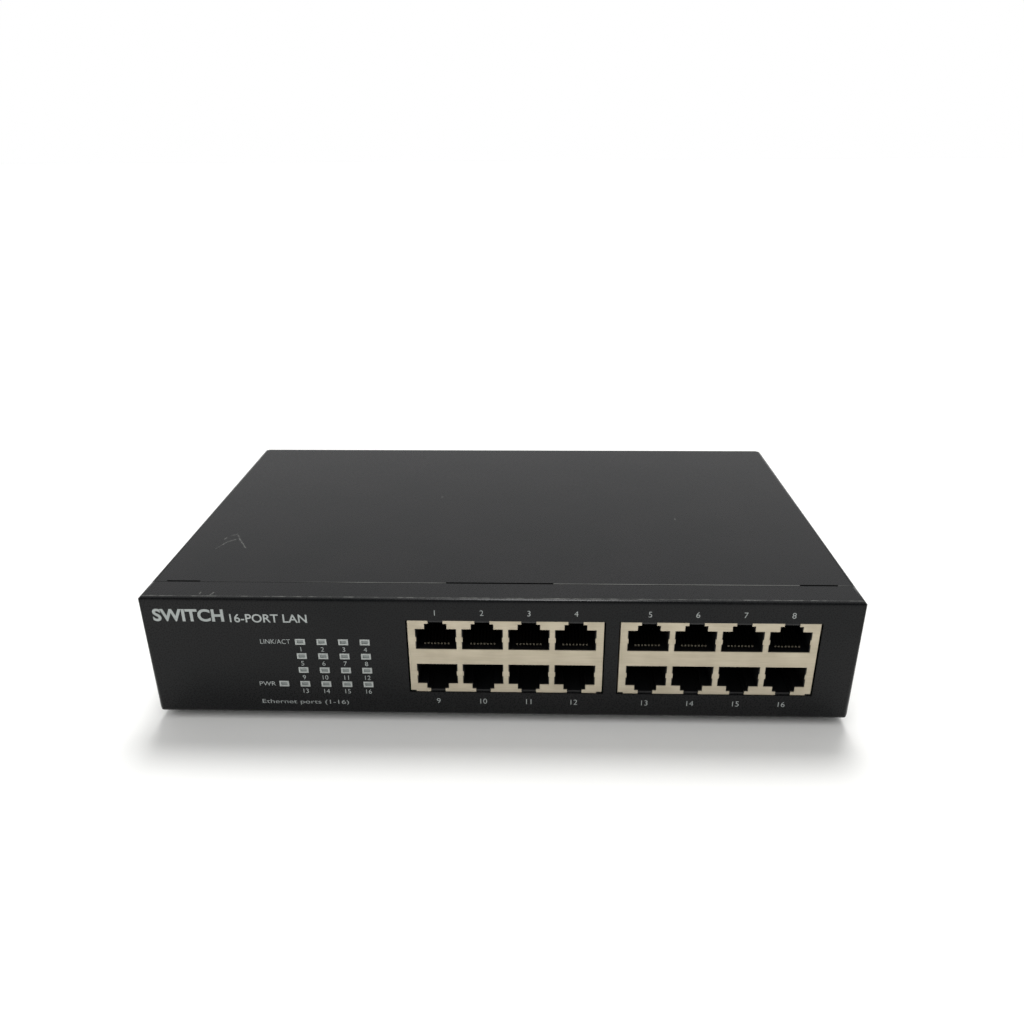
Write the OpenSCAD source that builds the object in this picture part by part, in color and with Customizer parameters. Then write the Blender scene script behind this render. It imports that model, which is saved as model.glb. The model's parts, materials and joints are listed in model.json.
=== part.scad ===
// Desktop network switch with sixteen jacks in two shielded blocks, a bank of
// indicator windows, a folded steel case and its own mains supply.
// Millimetres. +X is right seen from the front, +Y goes to the rear, +Z is up.
// The origin is the middle of the footprint, at the underside of the feet.

/* [Case] */
// Width over the side walls
case_w = 215; // [213:1:222]
// Depth from the front face to the cover's rear lip
case_d = 131; // [131:1:140]
// Height from the underside of the base to the top of the cover
case_h = 41.3; // [41.3:0.1:44]
// Thickness of the steel sheet
sheet = 0.8; // [0.7:0.1:0.9]
// Outer radius of the bends
bend_r = 1.5; // [1.1:0.1:1.8]
// Outer radius of the front tray's two lower corners
corner_r = 2.8; // [1.5:0.1:3]
// Depth of the front tray, where the cover begins
tray_d = 10.1; // [9.8:0.1:11]
// Gap between the cover and the base's side lips
cover_gap = 0.3; // [0.2:0.05:0.4]
// Height of the rubber feet
foot_h = 2.5; // [2:0.5:5]
// Distance that the mains inlet's flange and the screws stand out at the rear
rear_reach = 2; // [2:0.5:3]

/* [Jacks] */
// Centre of the left block of eight jacks
left_block_x = 2; // [1:0.2:3]
// Centre of the right block of eight jacks
right_block_x = 65.6; // [65:0.2:68]
// Height of the middle of both blocks
jack_z = 21.45; // [21.3:0.05:21.6]
// Spacing of the jacks in a row
jack_pitch = 13.97; // [13.9:0.01:14]
// Width of a jack's window in the shield
window_w = 12.4; // [12.2:0.1:12.5]
// Depth of a block from face to back
block_d = 26; // [25.5:0.5:27]
// Spacing of the eight contacts in a jack
contact_pitch = 1.016; // [1:0.004:1.02]

/* [Indicators] */
// Centre of the first indicator column
led_x = -60.1; // [-61:0.1:-59]
// Spacing of the indicator columns
led_pitch = 6.54; // [6.4:0.02:6.6]
// Height of the lowest indicator row
led_z = 11.2; // [11:0.1:11.4]
// Spacing of the indicator rows
led_row_pitch = 5.08; // [5:0.02:5.1]
// Distance of the power window left of the first column
power_offset = 6.57; // [6.4:0.01:6.8]

/* [Boards] */
// Height of the boards' underside over the base's underside
board_z = 6.6; // [6.6:0.1:7]
// Thickness of both boards
board_t = 1.6; // [1.5:0.1:1.6]

/* [Rear] */
// Centre of the mains inlet from the middle of the case
inlet_x = 68; // [66:1:72]
// Height of the mains inlet's centre
inlet_z = 17.5; // [16:0.5:18.5]
// Place of the grounding screw from the middle of the case
ground_x = 30; // [26:1:34]
// Height of the cover screws
cover_screw_z = 36; // [35.5:0.1:36.2]

/* [Rack ear holes] */
// Distance of the hole pattern's centre from the front face
ear_y = 34; // [30:1:40]
// Height of the hole pattern's centre
ear_z = 22; // [20:0.5:23]
// Spacing of the holes from front to rear
ear_dy = 24; // [20:1:28]
// Spacing of the holes in height
ear_dz = 18; // [14:0.5:20]
// Radius of the holes, tapped for M3
ear_hole_r = 1.25; // [1.2:0.05:1.6]

/* [Hidden] */
$fn = 48;
// Overrun of a cut past the face that it leaves
cut = 1;
front_y = -(case_d + rear_reach) / 2;
half_w = case_w / 2;

// Case: the cover starts one seam behind the tray, and its rear lip overlaps the rear wall
seam = 0.2;
cover_y = tray_d + seam;
base_half_w = half_w - sheet - cover_gap;
lip_h = 9;
lip_gap = 0.3;
rear_y = case_d - sheet - lip_gap;
rear_inner_y = rear_y - sheet;
rear_wall_h = case_h - 2;
rear_half_w = base_half_w - 0.5;
rear_lip_h = 9.5;
cover_low_z = 0.4;
cover_screw_x = [-80, 0, 80];

// Tabs that hold the cover's front edge under the tray: centre and width of each
tabs = [[-97.25, 10.3], [0, 32.7], [96.2, 11.4]];
tab_front_y = 4.5;
tab_gap = 0.15;
tab_top_z = case_h - sheet - tab_gap;
notch = 0.6;

// Side vents
vent_count = 13;
vent_pitch = 5;
vent_w = 2;
vent_y = 58;
vent_z = [14, 30];

// Feet
foot_r = 6.2;
foot_x = 94;
foot_y = [13, case_d - 14];

// Boards: edges and screw places
board_top = board_z + board_t;
main_half_w = half_w - 4.5;
main_y = [3.2, 86];
main_holes = [[-99, 12], [99, 12], [-99, 80], [99, 80], [-33, 30], [33.8, 74]];
supply_x = [-92, 22];
supply_y = [92, 126];
supply_holes = [[-88, 96], [-88, 122], [18, 96], [18, 122]];
screw_r = 1.25;
screw_hole_r = 1.6;

// Jack blocks, measured from the block's own centre
block_half_w = 29.35;
block_half_h = 12.75;
plate_t = 0.25;
face_y = 0.3;
opening_half_w = 29.8;
opening_half_h = 12.8;
row_gap = 2.65;
window_top = 9.75;
key_w = [6.75, 4.5];
key_top = [11.55, 12.75];
cavity_w = 11.9;
comb_y = 13.2;
block_foot = jack_z - board_top;
contact_w = 0.5;
contact_t = 0.3;
// Centre lines of an upper and a lower contact, as (distance from the front, height)
upper_contact = [[14.8, 8.2], [14.8, 24.5], [2.9, 24.5], [2.4, 24.75], [2.4, 25.15],
                 [2.9, 25.45], [9.6, 28.2], [10.6, 28.3]];
lower_contact = [[13.9, 8.2], [13.9, 18.4], [2.9, 18.4], [2.4, 18.15], [2.4, 17.75],
                 [2.9, 17.45], [9.6, 14.7], [10.6, 14.6]];

// Indicators
window = [3.15, 2.2];
pipe = [3, 2.05];
pipe_leg = 2.6;
pocket = [1.95, 1.15];
pocket_depth = 0.35;
pipe_low_z = 9.3;
first_led_y = 6;
led_step_y = 5;
power_x = led_x - power_offset;

// Mains inlet, measured from its own centre
flange = [49, 23];
inlet_body = [27.2, 19.8];
inlet_mouth = [24, 16.2];
inlet_front_y = 110;
inlet_screw_x = 20;
flange_y = case_d + rear_reach;

// Grounding screw and earth stud
ground_z = 12;
stud = [44, 114];

// Leads: each route is chosen by hand, as points from the front face's middle
lead_sides = 8;
steps_per_span = 3;
lead_gap = 0.15;
dc_lead_r = 0.75;
mains_lead_r = 0.95;
dc_route = [[0, 0, 0], [0, 0.5, 4], [1, 5, 7], [3, 13, 8], [6, 20, 5], [7, 24, -3], [7, 24.5, -12]];
dc_start = [-92.4, 76];
dc_plug_h = 12;
dc_pitch = 2.6;
live_route = [[61, 101.7, 15.5], [60, 97, 15], [53, 94, 14], [42, 96, 12], [31, 104, 11],
              [26, 108, 12], [20.3, 108.5, 12.5]];
neutral_route = [[75, 101.7, 15.5], [74, 95.5, 14], [66, 91, 12], [50, 89.8, 11], [37, 92.5, 10.5],
                 [27, 102, 11.5], [20.3, 104.5, 12.5]];
earth_route = [[68, 101.7, 19.5], [67.5, 98, 20.5], [64, 97, 21.5], [59.5, 99.5, 20], [56, 103, 14],
               [54.5, 106.5, 8], [54.5, 110.5, 4.5], [54, 113.2, 3.2], [52.2, 114, 2.7]];

// ---- Shared shapes ----

// Puts a shape given from the front face's middle and the base's underside into place
module in_case() {
    translate([0, front_y, foot_h]) children();
}

// Block between two opposite corners
module block(lo, hi) {
    translate(lo) cube(hi - lo);
}

// Outline of (depth, height) pushed from x0 to x1
module along_x(x0, x1) {
    translate([x0, 0, 0]) rotate([90, 0, 90]) linear_extrude(x1 - x0) children();
}

// Outline of (width, height) pushed from y0 to y1
module along_y(y0, y1) {
    translate([0, y1, 0]) rotate([90, 0, 0]) linear_extrude(y1 - y0) children();
}

// Outline of (width, depth) pushed from z0 to z1
module along_z(z0, z1) {
    translate([0, 0, z0]) linear_extrude(z1 - z0) children();
}

module rod_x(start, r, length) {
    translate(start) rotate([0, 90, 0]) cylinder(r = r, h = length);
}

module rod_y(start, r, length) {
    translate(start) rotate([-90, 0, 0]) cylinder(r = r, h = length);
}

module rod_z(start, r, length) {
    translate(start) cylinder(r = r, h = length);
}

// What a round corner takes off a square one; inward points from the corner into the plate
module corner_cut(corner, inward, r) {
    if (r > 0)
        difference() {
            translate(corner + inward * (r - cut) / 2) square(r + cut, center = true);
            translate(corner + inward * r) circle(r);
        }
}

// Rectangle whose corners have their own radii, anticlockwise from the lower left
module plate(lo, hi, r) {
    difference() {
        translate(lo) square(hi - lo);
        corner_cut([lo[0], lo[1]], [1, 1], r[0]);
        corner_cut([hi[0], lo[1]], [-1, 1], r[1]);
        corner_cut([hi[0], hi[1]], [-1, -1], r[2]);
        corner_cut([lo[0], hi[1]], [1, -1], r[3]);
    }
}

// Outline of a strip of thickness t whose centre line is the path
function unit(v) = v / norm(v);
function left_of(v) = [-v[1], v[0]];
function arriving(path, i) = unit(path[max(i, 1)] - path[max(i, 1) - 1]);
function leaving(path, i) =
    let (last = len(path) - 1) unit(path[min(i + 1, last)] - path[min(i + 1, last) - 1]);
function mitre(path, i) =
    let (n = unit(left_of(arriving(path, i)) + left_of(leaving(path, i))))
    n / (n * left_of(arriving(path, i)));
function strip(path, t) = concat(
    [for (i = [0:len(path) - 1]) path[i] + mitre(path, i) * t / 2],
    [for (i = [len(path) - 1:-1:0]) path[i] - mitre(path, i) * t / 2]);

// Points of a smooth curve through a route's own points
function on_curve(a, b, c, d, t) =
    (2 * b + (c - a) * t + (2 * a - 5 * b + 4 * c - d) * t * t + (3 * b - a - 3 * c + d) * t * t * t) / 2;
function curve(route) =
    let (last = len(route) - 1)
    concat([for (i = [0:last - 1], s = [0:steps_per_span - 1])
        on_curve(route[max(i - 1, 0)], route[i], route[i + 1], route[min(i + 2, last)], s / steps_per_span)],
        [route[last]]);

// Ring of corners round point i of a path, square to it; the path never runs along sideways
function ring(path, i, r, sideways) =
    let (last = len(path) - 1,
         ahead = unit(path[min(i + 1, last)] - path[max(i - 1, 0)]),
         side = unit(cross(ahead, sideways)),
         up = cross(side, ahead))
    [for (k = [0:lead_sides - 1])
        path[i] + r * (cos(360 * k / lead_sides) * side + sin(360 * k / lead_sides) * up)];

// Round insulated lead along a route
module lead(route, r, sideways) {
    path = curve(route);
    rings = len(path);
    n = lead_sides;
    polyhedron(
        points = [for (i = [0:rings - 1]) each ring(path, i, r, sideways)],
        faces = concat(
            [[for (k = [0:n - 1]) k]],
            [for (i = [0:rings - 2], k = [0:n - 1])
                [i * n + k, (i + 1) * n + k, (i + 1) * n + (k + 1) % n, i * n + (k + 1) % n]],
            [[for (k = [n - 1:-1:0]) (rings - 1) * n + k]]));
}

// ---- Case ----

// Block with the tray's bends, brought in by inset on every outer face
module tray_block(inset, depth) {
    edge_r = bend_r - inset;
    low_r = corner_r - inset;
    x = half_w - inset;
    top = case_h - inset;
    intersection() {
        along_y(inset, depth) plate([-x, inset], [x, top], [low_r, low_r, edge_r, edge_r]);
        along_x(-x, x) plate([inset, inset], [depth, top], [edge_r, 0, 0, edge_r]);
        along_z(inset, top) plate([-x, inset], [x, depth], [edge_r, edge_r, 0, 0]);
    }
}

// Front panel with its folded edges
module front_tray() {
    difference() {
        tray_block(0, tray_d);
        tray_block(sheet, tray_d + cut);
    }
}

// Base with its side lips, and the rear wall that folds up from it
module base_pan() {
    inner_r = bend_r - sheet;
    lip_end = rear_y - bend_r - 0.6;
    difference() {
        along_y(tray_d - cut, lip_end)
            plate([-base_half_w, 0], [base_half_w, lip_h], [bend_r, bend_r, 0, 0]);
        along_y(tray_d - 2 * cut, lip_end + cut)
            plate([sheet - base_half_w, sheet], [base_half_w - sheet, lip_h + cut], [inner_r, inner_r, 0, 0]);
    }
    fold_half_w = base_half_w - bend_r - 0.3;
    along_x(-fold_half_w, fold_half_w)
        difference() {
            plate([lip_end - cut, 0], [rear_y, rear_wall_h], [0, bend_r, 0, 0]);
            plate([lip_end - 2 * cut, sheet], [rear_inner_y, rear_wall_h + cut], [0, inner_r, 0, 0]);
        }
    block([-rear_half_w, rear_inner_y, lip_h / 2], [rear_half_w, rear_y, rear_wall_h]);
}

// Calls its children at the centre of every indicator window
module at_indicators() {
    for (column = [0:3], row = [0:3])
        translate([led_x + column * led_pitch, 0, led_z + row * led_row_pitch]) children();
    translate([power_x, 0, led_z]) children();
}

module chassis() {
    color("#2a2c2f") in_case()
        difference() {
            union() {
                front_tray();
                base_pan();
                // Drawn collars that take the cover screws
                for (x = cover_screw_x) rod_y([x, rear_inner_y - 1.2, cover_screw_z], 2.4, 1.6);
            }
            for (x = [left_block_x, right_block_x])
                block([x - opening_half_w, -cut, jack_z - opening_half_h],
                      [x + opening_half_w, sheet + cut, jack_z + opening_half_h]);
            at_indicators()
                block([-window[0] / 2, -cut, -window[1] / 2], [window[0] / 2, sheet + cut, window[1] / 2]);
            block([inlet_x - inlet_body[0] / 2 - 0.2, rear_inner_y - cut, inlet_z - inlet_body[1] / 2 - 0.2],
                  [inlet_x + inlet_body[0] / 2 + 0.2, rear_y + cut, inlet_z + inlet_body[1] / 2 + 0.2]);
            for (side = [-1, 1])
                rod_y([inlet_x + side * inlet_screw_x, rear_inner_y - cut, inlet_z], 1.65, sheet + 2 * cut);
            rod_y([ground_x, rear_inner_y - cut, ground_z], 1.65, sheet + 2 * cut);
            for (x = cover_screw_x) rod_y([x, rear_inner_y - 3, cover_screw_z], 1.5, 5);
        }
}

// Slot with round ends through a side wall, from z0 to z1
module vent(x, y, z0, z1) {
    along_x(x - cut, x + sheet + cut) {
        translate([y - vent_w / 2, z0 + vent_w / 2]) square([vent_w, z1 - z0 - vent_w]);
        for (z = [z0 + vent_w / 2, z1 - vent_w / 2]) translate([y, z]) circle(vent_w / 2);
    }
}

// Top and both sides in one fold, with the rear lip
module cover_shell() {
    inner_r = bend_r - sheet;
    fold_y = case_d - bend_r - 0.2;
    lip_half_w = half_w - bend_r - 0.3;
    difference() {
        along_y(cover_y, fold_y)
            plate([-half_w, cover_low_z], [half_w, case_h], [0, 0, bend_r, bend_r]);
        along_y(cover_y - cut, fold_y + cut)
            plate([sheet - half_w, cover_low_z - cut], [half_w - sheet, case_h - sheet], [0, 0, inner_r, inner_r]);
    }
    along_x(-lip_half_w, lip_half_w)
        difference() {
            plate([fold_y - cut, case_h - rear_lip_h], [case_d, case_h], [0, 0, bend_r, 0]);
            plate([fold_y - 2 * cut, case_h - rear_lip_h - cut], [case_d - sheet, case_h - sheet], [0, 0, inner_r, 0]);
        }
    for (side = [-1, 1])
        block([min(side * half_w, side * (half_w - sheet)), fold_y - cut, cover_low_z],
              [max(side * half_w, side * (half_w - sheet)), case_d - 0.2, case_h - bend_r - 0.3]);
}

module top_cover() {
    color("#3a3c3d") in_case() {
        difference() {
            cover_shell();
            for (tab = tabs)
                block([tab[0] - tab[1] / 2, cover_y - cut, case_h - sheet - cut],
                      [tab[0] + tab[1] / 2, cover_y + notch, case_h + cut]);
            for (side = [-1, 1], i = [0:vent_count - 1])
                vent(side > 0 ? half_w - sheet : -half_w, vent_y + i * vent_pitch, vent_z[0], vent_z[1]);
            for (side = [-1, 1], dy = [-1, 1], dz = [-1, 1])
                rod_x([side * (half_w - sheet / 2) - 2, ear_y + dy * ear_dy / 2, ear_z + dz * ear_dz / 2],
                      ear_hole_r, 4);
            for (x = cover_screw_x) rod_y([x, case_d - 4, cover_screw_z], 1.7, 6);
        }
        // Tabs set down by one sheet, so that they slide under the front tray
        for (tab = tabs) {
            x0 = tab[0] - tab[1] / 2 + 0.3;
            x1 = tab[0] + tab[1] / 2 - 0.3;
            block([x0, tab_front_y, tab_top_z - sheet], [x1, cover_y + notch + sheet, tab_top_z]);
            block([x0, cover_y + notch, tab_top_z - sheet], [x1, cover_y + notch + sheet, case_h - sheet / 2]);
        }
    }
}

// Cross-recess pan-head screw, its head's top at the origin and its point downwards
module pan_screw(head_r, head_h, shank_r, length) {
    crown = head_h * 0.45;
    difference() {
        union() {
            translate([0, 0, -head_h]) cylinder(r = head_r, h = head_h - crown);
            translate([0, 0, -crown]) cylinder(r1 = head_r, r2 = head_r * 0.72, h = crown);
        }
        for (turn = [0, 90])
            rotate(turn) translate([0, 0, -head_h * 0.25]) cube([head_r * 1.1, 0.6, head_h], center = true);
    }
    translate([0, 0, -head_h - length]) cylinder(r = shank_r, h = length);
}

module cover_screws() {
    color("#8d8f90") in_case()
        for (x = cover_screw_x)
            translate([x, flange_y, cover_screw_z]) rotate([-90, 0, 0]) pan_screw(2.8, rear_reach, 1.4, 7);
}

module foot(x, y) {
    color("#161617") in_case()
        translate([x, y, -foot_h]) {
            cylinder(r1 = foot_r - 0.6, r2 = foot_r, h = 0.7);
            translate([0, 0, 0.7]) cylinder(r = foot_r, h = foot_h - 0.7);
        }
}

module foot_front_left() {
    foot(-foot_x, foot_y[0]);
}

module foot_front_right() {
    foot(foot_x, foot_y[0]);
}

module foot_rear_left() {
    foot(-foot_x, foot_y[1]);
}

module foot_rear_right() {
    foot(foot_x, foot_y[1]);
}

// Blank label stuck under the base
module rating_label() {
    color("#d8d8d4") in_case()
        along_z(-0.12, 0) plate([-40, 48], [20, 78], [1.5, 1.5, 1.5, 1.5]);
}

// ---- Jack blocks ----

// Calls its children at the middle of each jack column, from the block's centre
module at_jacks() {
    for (i = [0:3]) translate([(i - 1.5) * jack_pitch, 0, 0]) children();
}

// A jack's window and its two latch keyways in front of it, for both rows
module jack_opening(half_w, low, top, keys, key_tops, y0, y1) {
    for (row = [0, 1]) mirror([0, 0, row]) {
        block([-half_w, y0, low], [half_w, y1, top]);
        for (k = [0, 1])
            block([-keys[k] / 2, y0, top - cut], [keys[k] / 2, y1, key_tops[k]]);
    }
}

// Folded shield round one block, with the front frame that shows
module jack_shield(x) {
    w = block_half_w;
    h = block_half_h;
    lip = 0.5;
    notch_w = 1.65;
    bump = 0.28;
    bump_z = [5.3, 6.9];
    color("#b5ae98") in_case() translate([x, 0, jack_z]) {
        difference() {
            union() {
                block([-w, face_y, -h], [w, face_y + 1, h]);
                block([-w, sheet + 0.2, -block_foot], [w, face_y + block_d, h]);
            }
            block([plate_t - w, face_y + plate_t, -block_foot - cut],
                  [w - plate_t, face_y + block_d - plate_t, h - plate_t]);
            at_jacks()
                jack_opening(window_w / 2, row_gap, window_top, key_w,
                             [key_top[0], key_top[1] + cut], -cut, face_y + plate_t + 0.2);
            for (side = [-1, 1])
                block([side * w - notch_w, -cut, -h - cut], [side * w + notch_w, sheet + 0.2, lip - h]);
        }
        // Small bumps halfway up both sides of every window
        for (row = [0, 1]) mirror([0, 0, row]) at_jacks()
            for (side = [-1, 1])
                block([side * window_w / 2 - bump, face_y, bump_z[0]],
                      [side * window_w / 2 + bump, face_y + plate_t, bump_z[1]]);
    }
}

module jack_shield_left() {
    jack_shield(left_block_x);
}

module jack_shield_right() {
    jack_shield(right_block_x);
}

// Moulded body inside the shield: a comb of eight cavities and an open chamber behind
module jack_housing(x) {
    gap = 0.05;
    w = block_half_w - plate_t - gap;
    top = block_half_h - plate_t - gap;
    front = face_y + plate_t + gap;
    rear = face_y + block_d - plate_t - gap;
    wall = 1;
    color("#141415") in_case() translate([x, 0, jack_z])
        difference() {
            block([-w, front, -block_foot], [w, rear, top]);
            block([wall - w, comb_y, -block_foot - cut], [w - wall, rear + cut, top - wall]);
            // The lower edge stands back behind the panel
            block([-w - cut, front - cut, -block_foot - cut], [w + cut, sheet + 0.1, 0.05 - opening_half_h]);
            at_jacks()
                jack_opening(cavity_w / 2, row_gap + 0.15, window_top - 0.1, [6.5, 4.3],
                             [key_top[0] - 0.2, key_top[1] - 0.8], -cut, comb_y + cut);
        }
}

module jack_housing_left() {
    jack_housing(left_block_x);
}

module jack_housing_right() {
    jack_housing(right_block_x);
}

// Upright moulded blocks behind the cavities, one for each column, that carry the contacts
module contact_carriers(x) {
    color("#1b1b1d") in_case() translate([x, 0, jack_z]) at_jacks()
        difference() {
            block([-6.5, 15.6, -block_foot + 0.2], [6.5, 25.6, 11.2]);
            block([-5, 20, -block_foot - cut], [5, 23.6, 2]);
        }
}

module contact_carriers_left() {
    contact_carriers(left_block_x);
}

module contact_carriers_right() {
    contact_carriers(right_block_x);
}

// Spring contacts of all eight jacks in a block
module jack_contacts(x) {
    color("#d8b45a") in_case() translate([x, 0, 0]) at_jacks()
        for (k = [0:7], path = [upper_contact, lower_contact]) {
            middle = (k - 3.5) * contact_pitch;
            along_x(middle - contact_w / 2, middle + contact_w / 2) polygon(strip(path, contact_t));
        }
}

module jack_contacts_left() {
    jack_contacts(left_block_x);
}

module jack_contacts_right() {
    jack_contacts(right_block_x);
}

// ---- Indicators ----

// Light pipe from the board up to the panel: lit at depth y, seen at height z
module pipe_run(y, z) {
    chamfer = 1.3;
    rear = y + pipe_leg / 2;
    top = z + pipe[1] / 2;
    difference() {
        along_x(-pipe[0] / 2, pipe[0] / 2)
            polygon([[0, z - pipe[1] / 2], [y - pipe_leg / 2, z - pipe[1] / 2], [y - pipe_leg / 2, pipe_low_z],
                     [rear, pipe_low_z], [rear, top - chamfer], [rear - chamfer, top], [0, top]]);
        // Shallow pocket in the lens, so that its rim stands out
        block([-pocket[0] / 2, -cut, z - pocket[1] / 2], [pocket[0] / 2, pocket_depth, z + pocket[1] / 2]);
    }
}

// Row of four light pipes in one moulding; row 0 is the lowest
module light_pipe(row) {
    z = led_z + row * led_row_pitch;
    color("#c3c8c6") in_case() {
        for (column = [0:3])
            translate([led_x + column * led_pitch, 0, 0]) pipe_run(first_led_y + row * led_step_y, z);
        block([led_x, 2.8, z - 0.6], [led_x + 3 * led_pitch, 4.2, z + 0.6]);
    }
}

module light_pipe_1() {
    light_pipe(3);
}

module light_pipe_2() {
    light_pipe(2);
}

module light_pipe_3() {
    light_pipe(1);
}

module light_pipe_4() {
    light_pipe(0);
}

module power_light_pipe() {
    color("#c3c8c6") in_case() translate([power_x, 0, 0]) pipe_run(first_led_y, led_z);
}

// Plate that holds the light pipes behind the panel
module light_pipe_bracket() {
    x0 = power_x - 3.4;
    x1 = led_x + 3 * led_pitch + 3.4;
    top = led_z + 3 * led_row_pitch + 2.6;
    color("#18181a") in_case() {
        difference() {
            block([x0, sheet + 0.5, board_top + 0.1], [x1, sheet + 1.5, top]);
            at_indicators()
                block([-pipe[0] / 2 - 0.15, 0, -pipe[1] / 2 - 0.12], [pipe[0] / 2 + 0.15, 4, pipe[1] / 2 + 0.12]);
        }
        // Feet that stand on the board
        for (x = [x0, x1 - 1.6]) block([x, main_y[0] - 1.9, board_top], [x + 1.6, main_y[0] + 2, board_top + 4]);
    }
}

module status_leds() {
    color("#f2efe2") in_case() {
        for (column = [0:3], row = [0:3])
            translate([led_x + column * led_pitch, first_led_y + row * led_step_y, board_top])
                block([-1, -0.65, 0], [1, 0.65, 0.8]);
        translate([power_x, first_led_y, board_top]) block([-1, -0.65, 0], [1, 0.65, 0.8]);
    }
}

// ---- Main board ----

// Circuit board with its screw holes
module board(x, y, holes) {
    difference() {
        block([x[0], y[0], board_z], [x[1], y[1], board_top]);
        for (hole = holes) rod_z([hole[0], hole[1], board_z - cut], screw_hole_r, board_t + 2 * cut);
    }
}

module main_board() {
    color("#1f5a35") in_case() board([-main_half_w, main_half_w], main_y, main_holes);
}

module board_standoffs() {
    color("#b9b6ab") in_case()
        for (hole = concat(main_holes, supply_holes))
            difference() {
                rod_z([hole[0], hole[1], sheet], 2.5, board_z - sheet);
                rod_z([hole[0], hole[1], sheet + 0.6], screw_r + 0.05, board_z);
            }
}

module board_screws() {
    color("#a3a39c") in_case()
        for (hole = concat(main_holes, supply_holes))
            translate([hole[0], hole[1], board_top + 1.8]) pan_screw(2.7, 1.8, screw_r, 5);
}

// Body of a chip standing on the board, its upper edges relieved
module chip_body(x, y, size, h) {
    ease = 0.3;
    translate([x, y, board_top]) {
        along_z(0.1, h - ease) square([size, size], center = true);
        along_z(h - ease - 0.01, h) square([size - 2 * ease, size - 2 * ease], center = true);
    }
}

// Aluminium block cut into upright fins that run from front to rear
module finned_sink(x, y, size, z, h, fins) {
    base = 2.5;
    fin = 1.1;
    step = (size - fin) / (fins - 1);
    translate([x - size / 2, y - size / 2, z]) {
        cube([size, size, base]);
        for (i = [0:fins - 1]) translate([i * step, 0, 0]) cube([fin, size, h]);
    }
}

module switch_chip() {
    color("#1a1a1c") in_case() chip_body(-52, 54, 24, 1.6);
}

module switch_heat_sink() {
    color("#8f9294") in_case() finned_sink(-52, 54, 38, board_top + 1.65, 14, 9);
}

module phy_chip_left() {
    color("#1a1a1c") in_case() chip_body(left_block_x, 58, 14, 1.4);
}

module phy_chip_right() {
    color("#1a1a1c") in_case() chip_body(right_block_x, 58, 14, 1.4);
}

module phy_heat_sink_left() {
    color("#8f9294") in_case() finned_sink(left_block_x, 58, 24, board_top + 1.45, 9, 7);
}

module phy_heat_sink_right() {
    color("#8f9294") in_case() finned_sink(right_block_x, 58, 24, board_top + 1.45, 9, 7);
}

// Four isolating transformers behind a block
module lan_transformers(x) {
    color("#222224") in_case() translate([x, 36.5, board_top]) at_jacks() {
        block([-5.6, -5.2, 0.2], [5.6, 5.2, 5.6]);
        // Formed leads along both long sides
        for (side = [-1, 1], k = [0:11])
            block([k * 0.92 - 5.2, min(side * 4.9, side * 6.4), 0], [k * 0.92 - 4.8, max(side * 4.9, side * 6.4), 0.25]);
    }
}

module lan_transformers_left() {
    lan_transformers(left_block_x);
}

module lan_transformers_right() {
    lan_transformers(right_block_x);
}

// Can of the timing crystal, on its side
module crystal() {
    color("#c9c9c4") in_case()
        along_z(board_top, board_top + 3.5)
            plate([-23.5, 63.7], [-12.5, 68.3], [2.2, 2.2, 2.2, 2.2]);
}

module flash_chip() {
    color("#1a1a1c") in_case() chip_body(-22, 50, 5.2, 1.7);
}

// Shielded inductor of the board's step-down converter
module buck_inductor() {
    color("#4a4c4e") in_case() translate([-80, 60, board_top]) {
        along_z(0, 4.2) plate([-5, -5], [5, 5], [1.2, 1.2, 1.2, 1.2]);
        rod_z([0, 0, 4], 3.6, 0.5);
    }
}

// Electrolytic can standing on a board, with the groove near its foot
module can(x, y, r, h) {
    translate([x, y, board_top]) {
        cylinder(r = r, h = 1.4);
        cylinder(r = r - 0.35, h = h);
        translate([0, 0, 2]) cylinder(r = r, h = h - 2.4);
        translate([0, 0, h - 0.4]) cylinder(r1 = r, r2 = r - 0.4, h = 0.4);
    }
}

module board_capacitors() {
    color("#20242b") in_case()
        for (y = [30, 40, 50]) can(-90, y, 4, 12);
}

// Keyed header: a tray with a row of pins, open upwards
module header(lo, hi) {
    wall = 0.8;
    difference() {
        block(lo, hi);
        block([lo[0] + wall, lo[1] + wall, lo[2] + 2], [hi[0] - wall, hi[1] - wall, hi[2] + cut]);
    }
}

module board_headers() {
    color("#e8e4d8") in_case() {
        header([-95.4, 72, board_top], [-82.4, 80, board_top + 7]);
        header([12, 102, board_top], [20, 112, board_top + 7]);
    }
}

// Plugs in the headers: the low-voltage one faces up, the mains one faces the inlet
module header_plugs() {
    color("#efece2") in_case() {
        block([-94.4, 73, board_top + 2.1], [-83.4, 79, board_top + dc_plug_h]);
        block([12.9, 102.9, board_top + 2.1], [19.1, 111.1, board_top + 9]);
    }
}

module dc_wires() {
    color("#b3302a") in_case()
        for (k = [0:3])
            translate([dc_start[0] + k * dc_pitch, dc_start[1], board_top + dc_plug_h + lead_gap])
                lead(dc_route, dc_lead_r, [1, 0, 0]);
}

// ---- Supply ----

module psu_board() {
    color("#b98a4a") in_case() board(supply_x, supply_y, supply_holes);
}

// Paired E cores: two windows with the winding's leg between them
module transformer_core() {
    color("#35363a") in_case() translate([-56, 109, board_top + 2.2])
        difference() {
            block([-12.5, -4, 0], [12.5, 4, 20]);
            for (side = [-1, 1])
                block([min(side * 3.6, side * 9.4), -5, 3.6], [max(side * 3.6, side * 9.4), 5, 16.4]);
        }
}

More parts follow.
